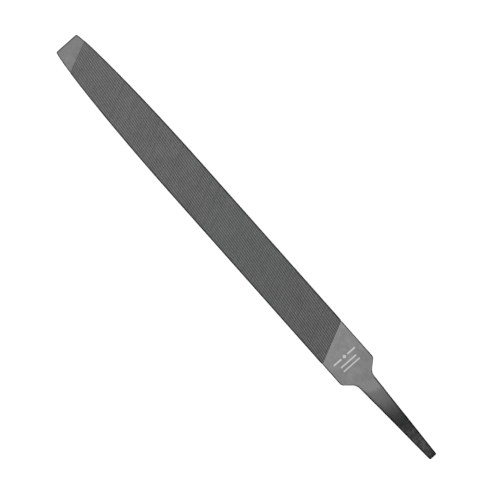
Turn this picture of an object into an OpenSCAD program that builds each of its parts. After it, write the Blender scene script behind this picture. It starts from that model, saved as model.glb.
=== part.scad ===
// Flat file, forged from one bar of carbon steel and lying on its wide lower face.
// +X runs from the tang to the point, and the underside rests on z = 0.
// The bar has no joints. Its zones are drawn as separate solids that meet face to face.

/* [Body] */
// Length from the point to the shoulder, by which a file is sold
nominal_length = 254; // [240:1:270]
// Width over the edge teeth
body_width = 25.4; // [24:0.1:27]
// Thickness over the face teeth
body_thickness = 6.35; // [5.5:0.05:7.5]

/* [Point] */
// Width across the bare end of the point
point_width = 15.7; // [13:0.1:17]
// Thickness of the bare end of the point
point_thickness = 4.2; // [3.6:0.1:4.8]
// Length over which the body narrows towards the point
width_taper_length = 113; // [90:1:130]
// How sharply the narrowing gathers towards the point
width_taper_power = 2.45; // [2:0.05:3]
// Length over which the body thins towards the point
thickness_taper_length = 100; // [80:1:120]
// How sharply the thinning gathers towards the point
thickness_taper_power = 1.5; // [1.2:0.05:2.5]
// Extra narrowing of each side at the very end
end_pull = 0.75; // [0.3:0.05:1]
// Distance over which the extra narrowing fades
end_pull_length = 5.5; // [4:0.5:7]

/* [Cut] */
// Angle of the face teeth to the length of the file
cut_angle = 65; // [60:1:75]
// Rows of teeth in an inch of length
teeth_per_inch = 27; // [20:1:32]
// Bare length at the point, along the middle of the face
bare_point = 9.5; // [8:0.5:14]
// Bare length before the shoulder, along the middle of the face
bare_heel = 22.3; // [18:0.1:28]
// Depth of the face teeth
tooth_depth = 0.36; // [0.25:0.01:0.45]
// Depth of the edge teeth
edge_tooth_depth = 0.26; // [0.22:0.01:0.3]
// Height of the edge teeth above the bare edge
edge_rise = 0.2; // [0.1:0.01:0.2]

/* [Tang] */
// Length from the shoulder to the end of the tang
tang_length = 66.4; // [60:0.1:75]
// Length of the slanted shoulder
shoulder_length = 5.9; // [5:0.1:7]
// Width of the tang at the shoulder
tang_root_width = 11.4; // [10:0.1:13]
// Width of the end of the tang
tang_end_width = 5.1; // [4:0.1:6]
// Thickness of the end of the tang
tang_end_thickness = 3; // [2.5:0.1:3.5]
// Radius of the outer corners of the shoulder
shoulder_radius = 2.6; // [1.5:0.1:3]
// Radius where the shoulder runs into the tang
fillet_radius = 6; // [2.5:0.1:6.5]
// Radius of the corners at the end of the tang
tang_end_radius = 0.6; // [0.4:0.1:1]

/* [Hidden] */

// Lengthwise places
point_x = (nominal_length + tang_length) / 2;
tooth_pitch = 25.4 / teeth_per_inch;
tooth_rows = floor((nominal_length - bare_point - bare_heel) / tooth_pitch);
cut_end = nominal_length - bare_heel;
cut_start = cut_end - tooth_rows * tooth_pitch;

// One tooth, as shares of the pitch: the gullet floor, then the cutting face
gullet_share = 0.14;
front_share = 0.12;

// The bar under the teeth
blank_half_width = body_width / 2 - edge_rise;
width_drop = blank_half_width - end_pull - point_width / 2;
thickness_drop = (body_thickness - point_thickness) / 2;
face_layer = 0.9;
edge_layer = 0.9;
edge_margin = tooth_pitch / 2;

// Where the solids meet each other
slant = 1 / tan(cut_angle);
joint_margin = 1;
point_joint = edge_crossing(cut_start, 1) + joint_margin;
heel_joint = edge_crossing(cut_end, -1) - joint_margin;
tang_joint = nominal_length + shoulder_length + fillet_radius / 2;

// Distance at which the face cuts have their full thickness all the way across
parallel_start = edge_crossing(thickness_taper_length, 1);

// Sampling and overshoot
taper_steps = 36;
arc_steps = 8;
past = 5;

// Share of a taper left at distance d from the point
function taper(d, length, power) = d < length ? pow(1 - d / length, power) : 0;

// Half the width of the bare bar at distance d from the point
function half_width(d) =
    blank_half_width
    - width_drop * taper(d, width_taper_length, width_taper_power)
    - end_pull * exp(-d / end_pull_length);

// Half the thickness of the bare bar at distance d from the point
function half_thickness(d) =
    body_thickness / 2
    - thickness_drop * taper(d, thickness_taper_length, thickness_taper_power);

// Distances from the point that sample a taper, closest together at the point
function taper_distances(length) = [for (i = [0:taper_steps]) length * pow(i / taper_steps, 1.5)];

// Where a slanted end of the upper cut crosses an edge: side is 1 for the left edge
// and -1 for the right one
function edge_crossing(d, side) = d + side * slant * half_width(d);

// The cut of an edge stops just inside the ends of the upper cut
function edge_cut_start(side) = edge_crossing(cut_start, side) + edge_margin;
function edge_cut_end(side) = edge_crossing(cut_end, side) - edge_margin;

// Reads distances from the point as places along X
function to_x(points) = [for (p = points) [point_x - p[0], p[1]]];

// The same outline below the centre line, in the opposite order
function mirrored(points) =
    [for (i = [len(points) - 1:-1:0]) [points[i][0], -points[i][1]]];

function unit(v) = v / norm(v);

// An arc of radius r in place of the corner at b, between a and c
function round_corner(a, b, c, r) =
    let (
        to_a = unit(a - b),
        to_c = unit(c - b),
        half_angle = acos(to_a * to_c) / 2,
        centre = b + unit(to_a + to_c) * r / sin(half_angle),
        first = b + to_a * r / tan(half_angle) - centre,
        last = b + to_c * r / tan(half_angle) - centre,
        turn = 180 - 2 * half_angle
    )
    [for (i = [0:arc_steps])
        let (s = i / arc_steps)
        centre + (first * sin(turn * (1 - s)) + last * sin(turn * s)) / sin(turn)];

// Outline of one side of the bare bar, from the point to the end of the tang
function side_outline() =
    let (
        total = nominal_length + tang_length,
        body_side = [nominal_length / 2, blank_half_width],
        corner = [nominal_length, blank_half_width],
        root = [nominal_length + shoulder_length, tang_root_width / 2],
        end = [total, tang_end_width / 2]
    )
    concat(
        [for (d = taper_distances(width_taper_length)) [d, half_width(d)]],
        round_corner(body_side, corner, root, shoulder_radius),
        round_corner(corner, root, end, fillet_radius),
        round_corner(root, end, [total, 0], tang_end_radius)
    );

// Profile of the upper side of the bare bar, from the point to the end of the tang
function top_profile() =
    concat(
        [for (d = taper_distances(thickness_taper_length)) [d, half_thickness(d)]],
        [
            [nominal_length, body_thickness / 2],
            [nominal_length + tang_length, tang_end_thickness / 2]
        ]
    );

// Crests and gullets from one end of a cut to the other. Each cutting face looks
// towards the point, and each tooth's back falls towards the heel.
function face_teeth() =
    [for (i = [0:tooth_rows - 1], step = [0:2])
        let (
            run = [0, gullet_share, gullet_share + front_share][step],
            d = cut_start + (i + run) * tooth_pitch
        )
        [d, half_thickness(d) - (step < 2 ? tooth_depth : 0)]];

// The same on the edge at one side, where the cut runs between two distances
function edge_teeth(first, last) =
    let (rows = floor((last - first) / tooth_pitch))
    concat(
        [for (i = [0:rows - 1], step = [0:2])
            let (
                run = [0, gullet_share, gullet_share + front_share][step],
                d = first + (i + run) * tooth_pitch
            )
            [d, half_width(d) + edge_rise - (step < 2 ? edge_tooth_depth : 0)]],
        [[last, half_width(last) + edge_rise - edge_tooth_depth]]
    );

// Outline of one side of the body with its edge teeth, from the point to the shoulder
function toothed_outline(side) =
    let (
        first = edge_cut_start(side),
        last = edge_cut_end(side),
        bare = [for (d = taper_distances(width_taper_length)) if (d < first) [d, half_width(d)]]
    )
    concat(
        bare,
        [[first, half_width(first)]],
        edge_teeth(first, last),
        [[last, blank_half_width], [nominal_length, blank_half_width]]
    );

// Floor of a cut layer, from the heel end of the cut back to its point end
function face_floor() =
    [for (i = [taper_steps:-1:0])
        let (d = cut_start + (cut_end - cut_start) * pow(i / taper_steps, 1.5))
        [d, half_thickness(d) - face_layer]];

function edge_floor(first, last) =
    [for (i = [taper_steps:-1:0])
        let (d = first + (last - first) * pow(i / taper_steps, 1.5))
        [d, half_width(d) - edge_layer]];

// Lifts the bar so that its lower face rests on z = 0
module resting() {
    translate([0, 0, body_thickness / 2]) children();
}

// A side view in X and Z, carried straight across the width
module across(points) {
    rotate([90, 0, 0])
        linear_extrude(height = body_width + 2 * past, center = true)
            polygon(points);
}

// A side view along the middle of the face, carried across along the rows of teeth
module along_rows(points) {
    squeezed = [for (p = points) [p[0] * sin(cut_angle), p[1]]];
    rotate([90, 0, 90 - cut_angle])
        linear_extrude(height = 2 * point_x, center = true)
            polygon(squeezed);
}

// A plan, carried through the thickness
module upright(points) {
    linear_extrude(height = body_thickness + 2 * past, center = true)
        polygon(points);
}

// The whole bare bar, from the point to the end of the tang
module blank() {
    plan = to_x(side_outline());
    profile = to_x(top_profile());
    intersection() {
        upright(concat(plan, mirrored(plan)));
        across(concat(profile, mirrored(profile)));
    }
}

// Everything between two distances from the point
module between(first, last) {
    translate([point_x - last, -body_width, -body_thickness])
        cube([last - first, 2 * body_width, 2 * body_thickness]);
}

// The stretch of the bar between two distances from the point
module stretch(first, last) {
    intersection() {
        blank();
        between(first, last);
    }
}

// Everything above the floor of the upper cut
module upper_pocket() {
    above = body_thickness / 2 + past;
    along_rows(to_x(concat([[cut_start, above], [cut_end, above]], face_floor())));
}

module lower_pocket() {
    rotate([180, 0, 0]) upper_pocket();
}

// Everything outside the floor of an edge cut
module edge_pocket(side) {
    first = edge_cut_start(side);
    last = edge_cut_end(side);
    beside = body_width / 2 + past;
    outline = to_x(concat([[first, beside], [last, beside]], edge_floor(first, last)));
    upright([for (p = outline) [p[0], side * p[1]]]);
}

// Takes all four cut layers out of the bar
module without_cuts() {
    difference() {
        children();
        upper_pocket();
        lower_pocket();
        edge_pocket(1);
        edge_pocket(-1);
    }
}

// The body's plan with the teeth of both edges
module toothed_plan() {
    left = to_x(toothed_outline(1));
    right = to_x(toothed_outline(-1));
    upright(concat(left, mirrored(right)));
}

// One toothed face above its floor, between two distances. A turn of 180 degrees about
// the length of the file gives the lower one.
module cut_face(turn, first, last) {
    teeth = concat(face_teeth(), [[cut_end, half_thickness(cut_end) - tooth_depth]]);
    intersection() {
        rotate([turn, 0, 0]) along_rows(to_x(concat(teeth, face_floor())));
        toothed_plan();
        between(first, last);
    }
}

// The part of a cut face on the taper, from the bare point to the full thickness
module tapered_cut(turn) {
    cut_face(turn, 0, parallel_start);
}

// The rest of a cut face, up to the bare heel
module parallel_cut(turn) {
    cut_face(turn, parallel_start, nominal_length);
}

// One toothed edge, between the floors of the two faces
module cut_edge(side) {
    first = edge_cut_start(side);
    last = edge_cut_end(side);
    outline = to_x(concat(edge_teeth(first, last), edge_floor(first, last)));
    profile = to_x(top_profile());
    difference() {
        intersection() {
            upright([for (p = outline) [p[0], side * p[1]]]);
            across(concat(profile, mirrored(profile)));
        }
        upper_pocket();
        lower_pocket();
    }
}

module point() {
    color([0.53, 0.53, 0.53])
        resting() without_cuts() stretch(0, point_joint);
}

module blade() {
    color([0.4, 0.4, 0.4])
        resting() without_cuts() stretch(point_joint, heel_joint);
}

module upper_tapered_cut() {
    color([0.38, 0.39, 0.38])
        resting() tapered_cut(0);
}

module upper_parallel_cut() {
    color([0.36, 0.37, 0.36])
        resting() parallel_cut(0);
}

module lower_tapered_cut() {
    color([0.38, 0.39, 0.38])
        resting() tapered_cut(180);
}

module lower_parallel_cut() {
    color([0.36, 0.37, 0.36])
        resting() parallel_cut(180);
}

module left_cut_edge() {
    color([0.34, 0.35, 0.34])
        resting() cut_edge(1);
}

module right_cut_edge() {
    color([0.34, 0.35, 0.34])
        resting() cut_edge(-1);
}

module heel() {
    color([0.52, 0.52, 0.52])
        resting() without_cuts() stretch(heel_joint, tang_joint);
}

module tang() {
    color([0.25, 0.26, 0.25])
        resting() stretch(tang_joint, nominal_length + tang_length);
}

point();
blade();
upper_tapered_cut();
upper_parallel_cut();
lower_tapered_cut();
lower_parallel_cut();
left_cut_edge();
right_cut_edge();
heel();
tang();
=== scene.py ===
"""The looks of a flat file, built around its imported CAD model.

Lengths are in metres. +X runs from the tang to the point, +Z is up, and the file lies on z = 0.
Places along the file are given as the distance d from the end of the point.
"""

import math

import bpy
import numpy as np
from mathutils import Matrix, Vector, noise


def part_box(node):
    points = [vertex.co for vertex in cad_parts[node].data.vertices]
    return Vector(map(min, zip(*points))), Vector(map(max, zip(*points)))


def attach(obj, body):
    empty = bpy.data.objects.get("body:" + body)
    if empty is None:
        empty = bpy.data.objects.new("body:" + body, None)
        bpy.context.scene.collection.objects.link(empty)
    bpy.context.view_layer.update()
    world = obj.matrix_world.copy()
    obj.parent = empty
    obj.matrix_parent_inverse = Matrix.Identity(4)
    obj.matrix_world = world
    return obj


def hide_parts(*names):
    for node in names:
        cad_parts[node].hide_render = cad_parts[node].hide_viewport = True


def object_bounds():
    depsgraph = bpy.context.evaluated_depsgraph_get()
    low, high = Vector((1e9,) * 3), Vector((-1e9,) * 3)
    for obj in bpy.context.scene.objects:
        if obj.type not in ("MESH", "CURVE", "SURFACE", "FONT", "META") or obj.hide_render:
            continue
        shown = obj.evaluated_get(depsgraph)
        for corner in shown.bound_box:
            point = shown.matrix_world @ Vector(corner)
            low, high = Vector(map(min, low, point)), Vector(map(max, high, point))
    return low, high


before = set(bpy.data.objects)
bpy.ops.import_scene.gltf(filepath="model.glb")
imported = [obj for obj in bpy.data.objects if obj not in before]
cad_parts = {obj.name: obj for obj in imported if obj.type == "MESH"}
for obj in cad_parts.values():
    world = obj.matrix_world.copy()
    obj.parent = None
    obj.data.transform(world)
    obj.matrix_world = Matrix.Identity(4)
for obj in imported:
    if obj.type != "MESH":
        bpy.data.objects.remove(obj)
cad_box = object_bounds()

MM = 0.001
BODY = "root"
UPPER_CUT = ("upper_tapered_cut", "upper_parallel_cut")
LOWER_CUT = ("lower_tapered_cut", "lower_parallel_cut")

# ---------------------------------------------------------------- sizes, from the frame

POINT_X = cad_box[1].x
FILE_LENGTH = cad_box[1].x - cad_box[0].x
BARE_HALF_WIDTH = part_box("heel")[1].y
EDGE_RISE = cad_box[1].y - BARE_HALF_WIDTH
MID_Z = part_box("heel")[1].z / 2
POINT_JOINT = POINT_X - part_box("point")[0].x
HEEL_JOINT = POINT_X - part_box("heel")[1].x
TANG_JOINT = POINT_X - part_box("tang")[1].x

# the CAD's driving dimensions that no box shows; a taper is its length and its power
NOMINAL_LENGTH = 254 * MM
POINT_HALF_WIDTH = 7.85 * MM
POINT_HALF_THICKNESS = 2.1 * MM
WIDTH_TAPER = (113 * MM, 2.45)
THICKNESS_TAPER = (100 * MM, 1.5)
END_PULL = 0.75 * MM
END_PULL_LENGTH = 5.5 * MM
SHOULDER_LENGTH = 5.9 * MM
TANG_ROOT_HALF_WIDTH = 5.7 * MM
TANG_END_HALF_WIDTH = 2.55 * MM
TANG_END_HALF_THICKNESS = 1.5 * MM
SHOULDER_RADIUS = 2.6 * MM
FILLET_RADIUS = 6 * MM
SHOULDER_STEPS = 10

# the cut
PITCH = 25.4 * MM / 27
ROWS = 236
CUT_END = 231.7 * MM
CUT_START = CUT_END - ROWS * PITCH
SLANT = 1 / math.tan(math.radians(65))
TOOTH_DEPTH = 0.36 * MM
EDGE_TOOTH_DEPTH = 0.26 * MM
EDGE_LEAN = math.radians(10)
# how deep the toothed pieces reach into the bar
LAYER = 0.9 * MM


def taper(d, length, power):
    """The share of a taper that is left at distance d."""
    return np.clip(1 - d / length, 0, None) ** power


def half_width(d):
    """Half the bare bar's width between the point and the shoulder."""
    drop = BARE_HALF_WIDTH - END_PULL - POINT_HALF_WIDTH
    return BARE_HALF_WIDTH - drop * taper(d, *WIDTH_TAPER) - END_PULL * np.exp(-d / END_PULL_LENGTH)


def half_thickness(d):
    """Half the bare bar's thickness, from the point to the end of the tang."""
    body = MID_Z - (MID_Z - POINT_HALF_THICKNESS) * taper(d, *THICKNESS_TAPER)
    along_tang = np.clip((d - NOMINAL_LENGTH) / (FILE_LENGTH - NOMINAL_LENGTH), 0, 1)
    return body - (MID_Z - TANG_END_HALF_THICKNESS) * along_tang


def round_corner(before, corner, after, radius):
    """Points of an arc that takes the place of a corner."""
    corner = np.array(corner)
    one = np.array(before) - corner
    two = np.array(after) - corner
    one /= np.linalg.norm(one)
    two /= np.linalg.norm(two)
    half = math.acos(one @ two) / 2
    middle = (one + two) / np.linalg.norm(one + two)
    centre = corner + middle * radius / math.sin(half)
    first = corner + one * radius / math.tan(half) - centre
    last = corner + two * radius / math.tan(half) - centre
    turn = math.pi - 2 * half
    share = np.linspace(0, 1, SHOULDER_STEPS + 1)[:, None]
    return centre + (first * np.sin(turn * (1 - share)) + last * np.sin(turn * share)) / math.sin(turn)


def shoulder_outline():
    """(d, half width) along the shoulder and the tang."""
    body = (NOMINAL_LENGTH / 2, BARE_HALF_WIDTH)
    corner = (NOMINAL_LENGTH, BARE_HALF_WIDTH)
    root = (NOMINAL_LENGTH + SHOULDER_LENGTH, TANG_ROOT_HALF_WIDTH)
    end = (FILE_LENGTH, TANG_END_HALF_WIDTH)
    return np.vstack([
        round_corner(body, corner, root, SHOULDER_RADIUS),
        round_corner(corner, root, end, FILLET_RADIUS),
        [end],
    ])


OUTLINE = shoulder_outline()


def bar_half_width(d):
    """Half the bare bar's width anywhere between the point and the end of the tang."""
    if d < OUTLINE[0, 0]:
        return float(half_width(d))
    return float(np.interp(d, OUTLINE[:, 0], OUTLINE[:, 1]))


# ---------------------------------------------------------------- materials


class Graph:
    """A material's node tree, with a short call for each kind of node used here."""

    def __init__(self, name):
        self.material = bpy.data.materials.new(name)
        self.material.use_nodes = True
        self.tree = self.material.node_tree
        self.shader = self.tree.nodes["Principled BSDF"]
        self.place = self.make("ShaderNodeTexCoord").outputs["Object"]

    def make(self, kind, **settings):
        node = self.tree.nodes.new(kind)
        for key, value in settings.items():
            setattr(node, key, value)
        return node

    def plug(self, socket, value):
        if isinstance(value, bpy.types.NodeSocket):
            self.tree.links.new(value, socket)
        elif value is not None:
            socket.default_value = value

    def stretched(self, lengths, turn=(0, 0, 0)):
        """Coordinates that make a pattern longer along axes turned from the object's own."""
        node = self.make("ShaderNodeMapping", vector_type="TEXTURE")
        self.plug(node.inputs["Vector"], self.place)
        node.inputs["Rotation"].default_value = turn
        node.inputs["Scale"].default_value = lengths
        return node.outputs[0]

    def noise(self, feature, detail=2.0, roughness=0.5, place=None, distortion=0.0):
        """Noise from 0 to 1 whose blobs are about one feature long."""
        node = self.make("ShaderNodeTexNoise")
        self.plug(node.inputs["Vector"], place or self.place)
        node.inputs["Scale"].default_value = 1 / feature
        node.inputs["Detail"].default_value = detail
        node.inputs["Roughness"].default_value = roughness
        node.inputs["Distortion"].default_value = distortion
        return node.outputs["Fac"]

    def attribute(self, name):
        return self.make("ShaderNodeAttribute", attribute_name=name).outputs["Fac"]

    def math(self, operation, first, second=None, clamp=False):
        node = self.make("ShaderNodeMath", operation=operation, use_clamp=clamp)
        self.plug(node.inputs[0], first)
        self.plug(node.inputs[1], second)
        return node.outputs[0]

    def spread(self, value, low, high, to_low=0.0, to_high=1.0, smooth=False):
        """value from low..high to to_low..to_high, clamped."""
        node = self.make("ShaderNodeMapRange")
        node.interpolation_type = "SMOOTHSTEP" if smooth else "LINEAR"
        self.plug(node.inputs["Value"], value)
        for key, number in zip(("From Min", "From Max", "To Min", "To Max"), (low, high, to_low, to_high)):
            node.inputs[key].default_value = number
        return node.outputs[0]

    def ramp(self, value, stops):
        """A colour for each value, from (value, colour) stops."""
        node = self.make("ShaderNodeValToRGB")
        self.plug(node.inputs[0], value)
        points = node.color_ramp.elements
        while len(points) < len(stops):
            points.new(0.5)
        for point, (position, colour) in zip(points, stops):
            point.position = position
            point.color = (*colour, 1)
        return node.outputs[0]

    def mix(self, share, first, second, blend="MIX"):
        """Two colours, mixed or multiplied."""
        node = self.make("ShaderNodeMix", data_type="RGBA", blend_type=blend)
        self.plug(node.inputs["Factor"], share)
        for socket, value in ((node.inputs[6], first), (node.inputs[7], second)):
            self.plug(socket, (*value, 1) if isinstance(value, tuple) else value)
        return node.outputs[2]

    def shade(self, colour, *factors):
        """A colour multiplied by grey factors."""
        for factor in factors:
            colour = self.mix(1.0, colour, factor, "MULTIPLY")
        return colour

    def share_along(self, axis, start, end):
        """0 at start to 1 at end along one of the file's axes."""
        split = self.make("ShaderNodeSeparateXYZ")
        self.plug(split.inputs[0], self.place)
        return self.spread(split.outputs[axis], start, end)

    def painted_edge_shade(self, darkest):
        """A grey factor that paints shade along the edges, a little unevenly, standing in for the dark
        surroundings that rounded edges reflect.
        """
        patchy = self.spread(self.noise(7 * MM, 6, 0.7), 0.3, 0.6, 0.72, 1.0)
        share = self.math("MULTIPLY", self.attribute("rim"), patchy)
        return self.spread(share, 0.0, 1.0, 1.0, darkest)

    def bump(self, height, distance, strength=1.0, under=None):
        node = self.make("ShaderNodeBump")
        node.inputs["Strength"].default_value = strength
        node.inputs["Distance"].default_value = distance
        self.plug(node.inputs["Height"], height)
        self.plug(node.inputs["Normal"], under)
        return node.outputs[0]

    def finish(self, colour, roughness, normal):
        self.shader.inputs["Metallic"].default_value = 1.0
        self.plug(self.shader.inputs["Base Color"], colour)
        self.plug(self.shader.inputs["Roughness"], roughness)
        self.plug(self.shader.inputs["Normal"], normal)
        return self.material


def grey(value, green=0.0):
    """A neutral grey, or one with a little more green than red and blue."""
    return (value * (1 - green), value, value * (1 - green / 2))


def blasted_normal(graph, depth=0.012 * MM):
    """The fine pitted surface left by sandblasting."""
    coarse = graph.bump(graph.noise(0.9 * MM, 3), 3 * depth, 0.5)
    return graph.bump(graph.noise(0.16 * MM, 2), depth, 1.0, coarse)


def bare_steel(name, node, tones):
    """Sandblasted hardened steel, from one tone at the node's point end to another at its other end."""
    graph = Graph(name)
    low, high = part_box(node)
    tone = graph.ramp(graph.share_along("X", high.x, low.x), [(0.0, grey(tones[0])), (1.0, grey(tones[1]))])
    mottle = graph.spread(graph.noise(5 * MM, 5, 0.65), 0.3, 0.7, 0.86, 1.14)
    grain = graph.spread(graph.noise(0.22 * MM, 2), 0.25, 0.75, 0.88, 1.12)
    pits = graph.spread(graph.noise(0.5 * MM, 3, 0.7), 0.64, 0.72, 1.0, 0.7)
    # painted shade along the edges, through the rim attribute
    colour = graph.shade(tone, mottle, grain, pits, graph.painted_edge_shade(0.04))
    roughness = graph.spread(graph.noise(1.2 * MM, 3), 0.3, 0.7, 0.4, 0.52)
    return graph.finish(colour, roughness, blasted_normal(graph))


# (share of the file's length from the point, how much of the cut is slightly green with old oil)
CUT_TINT = ((0.2, 0.0), (0.46, 1.0), (0.56, 1.0), (0.68, 0.0))


def cut_steel(name, row_lengths, row_turn):
    """Chiselled teeth: bright along the crests, dark in the gullets, with painted shade along the edges."""
    graph = Graph(name)
    along_rows = graph.stretched(row_lengths, row_turn)
    patches = graph.spread(graph.noise(9 * MM, 4, 0.6), 0.3, 0.7, 0.94, 1.06)
    streaks = graph.spread(graph.noise(0.45 * MM, 3, 0.6, along_rows), 0.3, 0.7, 0.88, 1.12)
    # darker towards the heel, brighter towards the point
    darker_towards_heel = graph.spread(graph.share_along("X", -POINT_X, POINT_X), 0.0, 1.0, 0.8, 1.12)
    tints = [(share, grey(amount)) for share, amount in CUT_TINT]
    tint = graph.ramp(graph.share_along("X", POINT_X, -POINT_X), tints)
    steel = graph.ramp(
        graph.attribute("height"),
        [(0.0, grey(0.05)), (0.3, grey(0.105)), (0.85, grey(0.165)), (1.0, grey(0.29))],
    )
    steel = graph.mix(tint, steel, graph.shade(steel, grey(1.0, 0.045)))
    # painted shade along the edges, through the rim attribute
    colour = graph.shade(steel, patches, streaks, darker_towards_heel, graph.painted_edge_shade(0.04))
    roughness = graph.spread(graph.attribute("height"), 0.0, 1.0, 0.6, 0.42)
    scratches = graph.bump(graph.noise(0.1 * MM, 2, 0.6, along_rows), 0.01 * MM)
    return graph.finish(colour, roughness, scratches)


# (share of the tang's length from the heel, tone, green)
TANG_TONES = (
    (0.0, 0.23, 0), (0.09, 0.235, 0), (0.14, 0.165, 0), (0.23, 0.145, 0), (0.33, 0.1, 0),
    (0.43, 0.056, 0.02), (0.53, 0.032, 0.06), (0.63, 0.046, 0.05), (0.78, 0.064, 0),
    (0.93, 0.066, 0), (0.975, 0.05, 0), (1.0, 0.03, 0),
)


def tang_steel():
    """Heat-darkened steel on the tang, with a ragged start at the heel."""
    graph = Graph("tang_steel")
    low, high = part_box("tang")
    wander = graph.spread(graph.noise(3.5 * MM, 4, 0.65), 0.2, 0.8, -0.035, 0.035)
    leftward = graph.math("POWER", graph.share_along("Y", 0.0, high.y), 2.0)
    share = graph.math("ADD", graph.share_along("X", high.x, low.x), wander)
    share = graph.math("ADD", share, graph.math("MULTIPLY", leftward, 0.13))
    base = graph.ramp(share, [(position, grey(tone, green)) for position, tone, green in TANG_TONES])
    grain = graph.spread(graph.noise(0.3 * MM, 3, 0.6), 0.25, 0.75, 0.76, 1.24)
    loose = graph.spread(share, 0.35, 0.7)
    flakes = graph.spread(graph.noise(1.8 * MM, 4, 0.65), 0.42, 0.62, 0.72, 1.45)
    flakes = graph.mix(loose, (1.0, 1.0, 1.0), flakes)
    # painted shade along the edges, through the rim attribute
    colour = graph.shade(base, grain, flakes, graph.painted_edge_shade(0.02))
    roughness = graph.spread(share, 0.0, 0.4, 0.46, 0.6)
    height = graph.math("MULTIPLY", graph.noise(1.4 * MM, 4, 0.6), loose)
    scale = graph.bump(height, 0.05 * MM, 0.6)
    return graph.finish(colour, roughness, graph.bump(graph.noise(0.2 * MM, 2), 0.015 * MM, 1.0, scale))


def mark_steel():
    """The pale, freshly pressed bottom of the mark on the heel."""
    graph = Graph("mark_steel")
    grain = graph.spread(graph.noise(0.15 * MM, 2), 0.25, 0.75, 0.8, 1.15)
    colour = graph.shade(grey(0.58), grain)
    roughness = graph.spread(graph.noise(0.4 * MM, 2), 0.3, 0.7, 0.5, 0.65)
    return graph.finish(colour, roughness, blasted_normal(graph))


# ---------------------------------------------------------------- mesh helpers


def closed_faces(rings, size):
    """Quads between neighbouring rings of points, and a cap on the first and the last ring."""
    ring_start = np.arange(rings - 1)[:, None] * size
    here = np.arange(size)[None, :]
    after = (here + 1) % size
    quads = np.stack([here, after, size + after, size + here], -1) + ring_start[:, :, None]
    first = list(range(size))[::-1]
    last = list(range((rings - 1) * size, rings * size))
    return [*quads.reshape(-1, 4).tolist(), first, last]


def make_piece(name, points, faces, material, attributes=None):
    """A mesh piece in the CAD frame, smooth except along its sharp edges."""
    mesh = bpy.data.meshes.new(name)
    mesh.from_pydata(np.asarray(points).tolist(), [], faces)
    for key, values in (attributes or {}).items():
        layer = mesh.attributes.new(key, "FLOAT", "POINT")
        layer.data.foreach_set("value", np.asarray(values, np.float32).ravel())
    mesh.materials.append(material)
    piece = bpy.data.objects.new(name, mesh)
    bpy.context.scene.collection.objects.link(piece)
    smooth(piece)
    return piece


def smooth(piece, sharp_degrees=32):
    piece.data.shade_smooth()
    piece.data.set_sharp_from_angle(angle=math.radians(sharp_degrees))


def carve(piece, cutters):
    """Takes the cutters' shapes out of a piece, and the cutters out of the scene."""
    for cutter in cutters:
        modifier = piece.modifiers.new(cutter.name, "BOOLEAN")
        modifier.operation = "DIFFERENCE"
        modifier.solver = "EXACT"
        modifier.material_mode = "TRANSFER"
        modifier.object = cutter
    bpy.context.view_layer.update()
    carved = piece.evaluated_get(bpy.context.evaluated_depsgraph_get())
    mesh = bpy.data.meshes.new_from_object(carved)
    piece.modifiers.clear()
    piece.data = mesh
    for cutter in cutters:
        bpy.data.objects.remove(cutter)
    smooth(piece)
    return piece


# ---------------------------------------------------------------- the bare bar

# how far the cutters reach past what they cut
CLEAR = 5 * MM
FAR = 20 * MM

MARK_DEPTH = 0.06 * MM
MARK_ROWS = (242.6 * MM, 246.3 * MM, 249.0 * MM)
# name, row, and the middle, half length and half height in mm
MARK_BARS = (
    ("left_bar", 0, 5.2, 2.9, 0.5),
    ("right_bar", 0, -5.2, 2.9, 0.5),
    ("second_bar", 1, 0.0, 5.8, 0.45),
    ("third_bar", 2, 0.0, 6.2, 0.4),
)

RING_WIDTH_STEPS = 14
RING_SIDE_STEPS = 4
ARC_STEPS = 5
# how wide the band of painted shade along an edge is
EDGE_BAND = 0.25 * MM
TANG_BAND = 0.6 * MM
CORNER_RADIUS = 0.45 * MM
# the power that shapes a corner: 1 is round, 2 is a straight chamfer
CORNER_BLUNTNESS = 1.5
# how much of the painted edge shade the sides get, where the band is 1
SIDE_RIM = 0.45


def flat_side(reach, steps, band):
    """Points along one straight side of a ring, with the first and last step a band wide."""
    return np.r_[-reach, np.linspace(band - reach, reach - band, steps), reach]


def ring(width, height, radius, band):
    """A rectangle of half sizes width and height with broken corners, and each point's rim: how much
    painted shade it gets.
    """
    flat_y = width - radius
    flat_z = height - radius
    across = flat_side(flat_y, RING_WIDTH_STEPS, band)
    upright = flat_side(flat_z, RING_SIDE_STEPS, band)
    sides = (
        (across, np.full_like(across, height), 0.0),
        (np.full_like(upright, width), -upright, SIDE_RIM),
        (-across, np.full_like(across, -height), 0.0),
        (np.full_like(upright, -width), upright, SIDE_RIM),
    )
    corners = ((flat_y, flat_z), (flat_y, -flat_z), (-flat_y, -flat_z), (-flat_y, flat_z))
    arc = np.linspace(0, math.pi / 2, ARC_STEPS + 1)[1:-1]
    points = []
    rims = []
    for turn, ((y, z, rim), corner) in enumerate(zip(sides, corners)):
        points.append(np.column_stack([y, z]))
        rims.append(np.r_[1.0, np.full(len(y) - 2, rim), 1.0])
        angles = math.pi / 2 * (1 - turn) - arc
        bend = np.column_stack([np.cos(angles), np.sin(angles)])
        points.append(corner + radius * np.sign(bend) * np.abs(bend) ** CORNER_BLUNTNESS)
        rims.append(np.ones(len(arc)))
    return np.vstack(points), np.concatenate(rims)


def bar_ring(d, radius, inset, band):
    """The bare bar's cross-section at distance d, as points in the CAD frame, and their rims."""
    outline, rim = ring(bar_half_width(d) - inset, float(half_thickness(d)) - inset, radius, band)
    x = np.full(len(outline), POINT_X - d)
    return np.column_stack([x, outline[:, 0], outline[:, 1] + MID_Z]), rim


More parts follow.
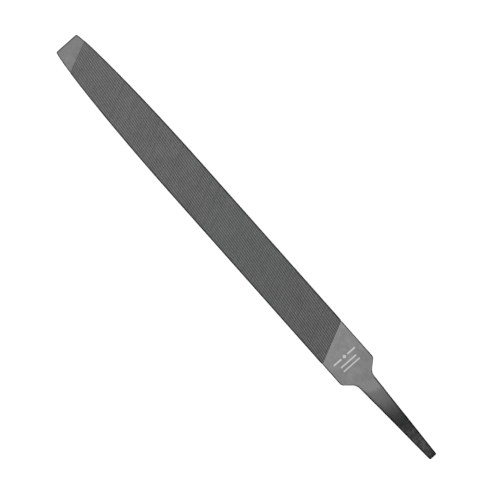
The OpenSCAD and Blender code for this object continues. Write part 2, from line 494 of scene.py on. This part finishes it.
def loft_bar(name, sections, material, band=EDGE_BAND, unevenness=0.0, seed=1):
    """A closed stretch of the bar through (d, corner radius, inset, least rim) sections."""
    rings = [bar_ring(*section[:3], band) for section in sections]
    points = np.vstack([points for points, rim in rings])
    rim = np.concatenate([np.maximum(rim, section[3]) for (points, rim), section in zip(rings, sections)])
    if unevenness:
        points = hammered(points, unevenness, seed)
    faces = closed_faces(len(rings), len(rings[0][1]))
    return make_piece(name, points, faces, material, {"rim": rim})


def hammered(points, depth, seed):
    """Slow unevenness, as hammer and roller leave it. It fades out at the stretch's first section."""
    noise.seed_set(seed)
    fade = np.clip((points[0, 0] - points[:, 0]) / (8 * MM), 0, 1)
    moved = points.copy()
    for i, point in enumerate(points):
        push = noise.noise_vector(Vector(point) / (7 * MM))
        moved[i] += np.array((0, push.y, push.z)) * depth * fade[i]
    return moved


def slanted_cutter(name, first, last, floor, side, material):
    """A block above (side 1) or below (side -1) the floor, whose ends run along the rows of teeth."""
    corners = [
        (POINT_X - d - side * SLANT * y, y, MID_Z + side * z)
        for z in (floor, MID_Z + FAR)
        for d, y in ((first, -FAR), (first, FAR), (last, FAR), (last, -FAR))
    ]
    return make_piece(name, corners, prism_faces(4, side < 0), material)


def edge_cutter(name, first, last, side, material):
    """A block outside the floor of an edge cut, between two distances."""
    d = np.linspace(first, last, 16)
    inner = half_width(d) - LAYER
    outer = np.full_like(d, BARE_HALF_WIDTH + CLEAR)
    outline = np.column_stack([np.r_[d, d[::-1]], side * np.r_[inner, outer]])
    corners = [(POINT_X - d, y, z) for z in (-CLEAR, 2 * MID_Z + CLEAR) for d, y in outline]
    return make_piece(name, corners, prism_faces(len(outline), side > 0), material)


def prism_faces(count, turned_over):
    """The faces of a prism whose points are one outline and then the other."""
    faces = [list(range(count)), list(range(2 * count - 1, count - 1, -1))]
    faces += [(i, count + i, count + (i + 1) % count, (i + 1) % count) for i in range(count)]
    return faces if turned_over else flipped(faces)


def flipped(faces):
    return [face[::-1] for face in faces]


def edge_cut(side):
    """Where the cut of one edge starts and ends."""
    margin = PITCH / 2
    first = CUT_START + side * SLANT * half_width(CUT_START) + margin
    last = CUT_END + side * SLANT * half_width(CUT_END) - margin
    return first, last


def cut_cutters(where, face_span, edge_spans, floor, material):
    """The four blocks that take the cut's layers out of a bare piece."""
    cutters = []
    for side, name in ((1, "upper"), (-1, "lower")):
        cutters.append(slanted_cutter(f"{where}_{name}", *face_span, floor, side, material))
    for side, name in ((1, "left"), (-1, "right")):
        cutters.append(edge_cutter(f"{where}_{name}", *edge_spans[side], side, material))
    return cutters


def build_point(material):
    """The bare end of the point, with its ground end face."""
    edge = 0.4 * MM
    # each section's last number is its least rim: painted shade on the end's broken edge
    sections = [
        (0.0, 0.1 * MM, edge + EDGE_BAND, SIDE_RIM),
        (0.0, 0.1 * MM, edge, 1.0),
        (edge, CORNER_RADIUS, 0.0, 1.0),
        (edge + EDGE_BAND, CORNER_RADIUS, 0.0, 0.25),
    ]
    sections += [(d, CORNER_RADIUS, 0.0, 0.0) for d in np.linspace(1.2 * MM, POINT_JOINT, 26)]
    piece = loft_bar("bare_point", sections, material)
    floor = float(half_thickness(CUT_START)) - LAYER
    beyond = POINT_JOINT + CLEAR
    edges = {side: (edge_cut(side)[0], beyond) for side in (1, -1)}
    carve(piece, cut_cutters("point", (CUT_START, beyond + FAR), edges, floor, material))
    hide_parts("point")
    return piece


def build_heel(material, mark):
    """The bare heel with its sloping shoulder and pressed mark."""
    body = np.linspace(HEEL_JOINT, OUTLINE[0, 0], 14)
    slope = np.linspace(OUTLINE[SHOULDER_STEPS, 0], OUTLINE[SHOULDER_STEPS + 1, 0], 6)
    stations = np.unique(np.r_[body, OUTLINE[:-1, 0], slope, TANG_JOINT])
    stations = stations[stations <= TANG_JOINT]
    piece = loft_bar("heel_and_shoulder", [(d, CORNER_RADIUS, 0.0, 0.0) for d in stations], material)
    before = HEEL_JOINT - CLEAR
    edges = {side: (before, edge_cut(side)[1]) for side in (1, -1)}
    cutters = cut_cutters("heel", (before - FAR, CUT_END), edges, MID_Z - LAYER, material)
    carve(piece, cutters + mark_cutters(mark))
    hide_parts("heel")
    return piece


def mark_cutters(material):
    """A plain pressed mark across the heel: a lozenge between two bars, over two more bars."""
    lozenge = [(1.3, 0.0), (0.0, 1.3), (-1.3, 0.0), (0.0, -1.3)]
    shapes = [("lozenge", MARK_ROWS[0], 0.0, lozenge)]
    for name, row, middle, half_length, half_height in MARK_BARS:
        bar = [(half_height, -half_length), (half_height, half_length)]
        bar += [(-half_height, half_length), (-half_height, -half_length)]
        shapes.append((name, MARK_ROWS[row], middle, bar))
    return [mark_prism(name, d, middle, outline, material) for name, d, middle, outline in shapes]


def mark_prism(name, d, middle, outline, material):
    """An upright prism that sinks into the heel's upper face."""
    corners = [
        (POINT_X - d + x * MM, (middle + y) * MM, z)
        for z in (2 * MID_Z - MARK_DEPTH, 2 * MID_Z + 1 * MM)
        for x, y in outline
    ]
    return make_piece(name, corners, prism_faces(len(outline), False), material)


def build_tang(material):
    """The forged tang, tapering to a sheared end."""
    edge = 0.35 * MM
    stations = np.r_[TANG_JOINT, np.linspace(TANG_JOINT + 1 * MM, FILE_LENGTH - edge, 90)]
    sections = [(d, CORNER_RADIUS, 0.0, 0.0) for d in stations]
    # the sheared end's broken edge gets full painted shade
    sections.append((FILE_LENGTH, 0.15 * MM, edge, 1.0))
    piece = loft_bar("forged_tang", sections, material, TANG_BAND, 0.1 * MM, 4)
    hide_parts("tang")
    return piece


# ---------------------------------------------------------------- the cut

# one tooth, from the gullet towards the heel: share of the pitch, share of the height
TOOTH = ((0.0, 0.08), (0.05, 0.0), (0.12, 0.02), (0.22, 0.95), (0.25, 1.0), (0.31, 0.95), (0.62, 0.5))
FACE_STEPS = 20
# the band of painted shade along each side of a cut face, as shares of its half width
RIM_FADES = 0.93
RIM_FULL = 0.975
# shares of a crest's height: its spread along a row, and what is worn off at the row's ends
CREST_SPREAD = 0.02
END_WEAR = 0.18


def tooth_lines(first, rows, rng, wander=0.008 * MM):
    """Distances and height shares of the lines that make up rows of teeth, with small irregularities."""
    shares = np.array([share for share, height in TOOTH])
    heights = np.array([height for share, height in TOOTH])
    starts = first + PITCH * np.arange(rows)
    shift = rng.normal(0, wander, rows).clip(-2 * wander, 2 * wander)
    shift[[0, -1]] = 0
    distances = (starts[:, None] + shift[:, None] * heights + shares * PITCH).ravel()
    tall = 1 + rng.normal(0, 0.03, rows).clip(-0.06, 0.0)
    levels = (heights * tall[:, None]).ravel()
    return np.r_[distances, first + rows * PITCH], np.r_[levels, 0.0]


def build_cut_face(name, nodes, side, material, seed):
    """One toothed face as a closed slab: slanted rows of teeth above a flat floor."""
    rng = np.random.default_rng(seed)
    lines, levels = tooth_lines(CUT_START, ROWS, rng)
    inner = np.linspace(-1, 1, FACE_STEPS - 1) * RIM_FADES
    across = np.r_[-1.0, -RIM_FULL, inner, RIM_FULL, 1.0]

    def end_of(edge):
        """Where each slanted line meets one edge (1 or -1), found in a few closer guesses."""
        y = edge * half_width(lines)
        for _ in range(4):
            y = edge * half_width(lines + side * SLANT * y)
        return y

    right, left = end_of(-1), end_of(1)
    y = right[:, None] + (left - right)[:, None] * (across + 1) / 2
    local = lines[:, None] + side * SLANT * y
    rough = rng.normal(0, CREST_SPREAD, y.shape) * (levels[:, None] > 0.6)
    level = np.clip(levels[:, None] + rough, 0, 1)
    level[:, [0, -1]] -= END_WEAR * (levels[:, None] > 0.5)
    z = half_thickness(local) - TOOTH_DEPTH * (1 - level)
    teeth = np.stack([POINT_X - local, y, MID_Z + side * z], -1)
    floor = teeth[:, [-1, 0]]
    floor[:, :, 2] = MID_Z + side * (half_thickness(local[:, [-1, 0]]) - LAYER)

    rings = np.concatenate([teeth, floor], axis=1)
    faces = closed_faces(*rings.shape[:2])
    if side < 0:
        faces = flipped(faces)
    height = np.pad(level, ((0, 0), (0, 2)))
    # rim: 1 on the outermost columns and the floor, where painted shade runs along the sides
    rim = np.tile(np.r_[np.abs(across) >= RIM_FULL, 1, 1], len(rings))
    piece = make_piece(name, rings.reshape(-1, 3), faces, material, {"height": height, "rim": rim})
    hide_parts(*nodes)
    return piece


# the corners of a cut edge, and how far it stays below the faces
EDGE_CHAMFER = 0.18 * MM
BELOW_FACE = 0.28 * MM


def build_cut_edge(name, node, side, material, seed):
    """One toothed edge as a closed strip, with its rows leaning slightly."""
    rng = np.random.default_rng(seed)
    first, last = edge_cut(side)
    rows = int((last - first) / PITCH)
    lines, levels = tooth_lines(first, rows, rng)
    lean = math.tan(EDGE_LEAN)

    tall = half_thickness(lines) - BELOW_FACE
    outside = half_width(lines) + EDGE_RISE - EDGE_TOOTH_DEPTH * (1 - levels)
    inside = half_width(lines) - LAYER
    strip = [(inside, tall), (outside - EDGE_CHAMFER, tall)]
    strip += [(outside, (tall - EDGE_CHAMFER) * share) for share in (1, 0.5, 0, -0.5, -1)]
    strip += [(outside - EDGE_CHAMFER, -tall), (inside, -tall)]
    z = np.stack([z for y, z in strip], -1)
    y = np.stack([y for y, z in strip], -1)
    x = POINT_X - lines[:, None] - lean * z
    count, columns = y.shape
    points = np.stack([x, side * y, MID_Z + z], -1).reshape(-1, 3)
    faces = closed_faces(count, columns)
    if side < 0:
        faces = flipped(faces)
    height = np.repeat(levels, columns)
    # rim: painted shade on the strip's top and bottom, fading out across its outer face
    rim = np.tile([1, 1, 0.6, 0, 0, 0, 0.6, 1, 1], count)
    piece = make_piece(name, points, faces, material, {"height": height, "rim": rim})
    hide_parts(node)
    return piece


# ---------------------------------------------------------------- studio

# how much of the file's plane the picture spans
PICTURE_WIDTH = 289.45 * MM
LENS = 300.0
CAMERA_TURN = math.radians(-131.6)
CAMERA_OFF_AXIS = 0.12 * MM
SKY = 0.9
FLOOR_GLOW = 0.5


def build_camera():
    """Looks straight down on the upper face, with the point at the upper left."""
    data = bpy.data.cameras.new("camera")
    data.lens = LENS
    camera = bpy.data.objects.new("camera", data)
    distance = PICTURE_WIDTH * LENS / data.sensor_width
    camera.location = (0, -CAMERA_OFF_AXIS, 2 * MID_Z + distance)
    camera.rotation_euler = (0, 0, CAMERA_TURN)
    data.clip_end = 100
    bpy.context.scene.collection.objects.link(camera)
    bpy.context.scene.camera = camera


def build_floor():
    """A plain pale floor, lit a little from below like a light table, that runs past every view."""
    reach = 12.0
    graph = Graph("floor_white")
    tone = graph.spread(graph.noise(0.4, 2), 0.3, 0.7, 0.84, 0.86)
    graph.plug(graph.shader.inputs["Base Color"], tone)
    graph.shader.inputs["Roughness"].default_value = 0.9
    graph.shader.inputs["Emission Color"].default_value = (1, 1, 1, 1)
    graph.shader.inputs["Emission Strength"].default_value = FLOOR_GLOW
    points = [(-reach, -reach, 0), (reach, -reach, 0), (reach, reach, 0), (-reach, reach, 0)]
    make_piece("floor", points, [(0, 1, 2, 3)], graph.material)


def build_light(name, size, power, azimuth, elevation, distance=1.6):
    """A square soft light that looks at the file. Azimuth 0 is towards the point."""
    data = bpy.data.lights.new(name, "AREA")
    data.shape = "SQUARE"
    data.size = size
    data.energy = power
    light = bpy.data.objects.new(name, data)
    flat = distance * math.cos(math.radians(elevation))
    light.location = (
        flat * math.cos(math.radians(azimuth)),
        flat * math.sin(math.radians(azimuth)),
        distance * math.sin(math.radians(elevation)),
    )
    light.rotation_euler = (-light.location).to_track_quat("-Z", "Y").to_euler()
    bpy.context.scene.collection.objects.link(light)


def build_studio():
    scene = bpy.context.scene
    scene.view_settings.view_transform = "Standard"
    world = bpy.data.worlds.new("studio")
    world.use_nodes = True
    background = world.node_tree.nodes["Background"]
    background.inputs["Color"].default_value = (1, 1, 1, 1)
    background.inputs["Strength"].default_value = SKY
    scene.world = world
    build_light("point_side", 1.0, 6, 20, 40)
    build_light("heel_side", 1.0, 4, 200, 40)


# ---------------------------------------------------------------- assembly


def assemble():
    bare_end = bare_steel("bare_point_steel", "point", (0.215, 0.222))
    bare_heel = bare_steel("bare_heel_steel", "heel", (0.262, 0.226))
    row_turn = math.radians(25)
    upper_cut = cut_steel("upper_cut_steel", (1, 4, 1), (0, 0, row_turn))
    lower_cut = cut_steel("lower_cut_steel", (1, 4, 1), (0, 0, -row_turn))
    edge_cut_metal = cut_steel("edge_cut_steel", (1, 1, 4), (0, EDGE_LEAN, 0))
    scaled = tang_steel()
    mark = mark_steel()
    made = [
        (build_point(bare_end), "bare_steel"),
        (build_heel(bare_heel, mark), "bare_steel"),
        (build_tang(scaled), "tang_steel"),
        (build_cut_face("upper_teeth", UPPER_CUT, 1, upper_cut, 11), "cut_steel"),
        (build_cut_face("lower_teeth", LOWER_CUT, -1, lower_cut, 12), "cut_steel"),
        (build_cut_edge("left_edge_teeth", "left_cut_edge", 1, edge_cut_metal, 13), "cut_steel"),
        (build_cut_edge("right_edge_teeth", "right_cut_edge", -1, edge_cut_metal, 14), "cut_steel"),
    ]
    for piece, slot in made:
        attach(piece, BODY)
    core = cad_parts["blade"].data
    core.materials.clear()
    core.materials.append(bare_heel)


build_camera()
build_floor()
build_studio()
assemble()
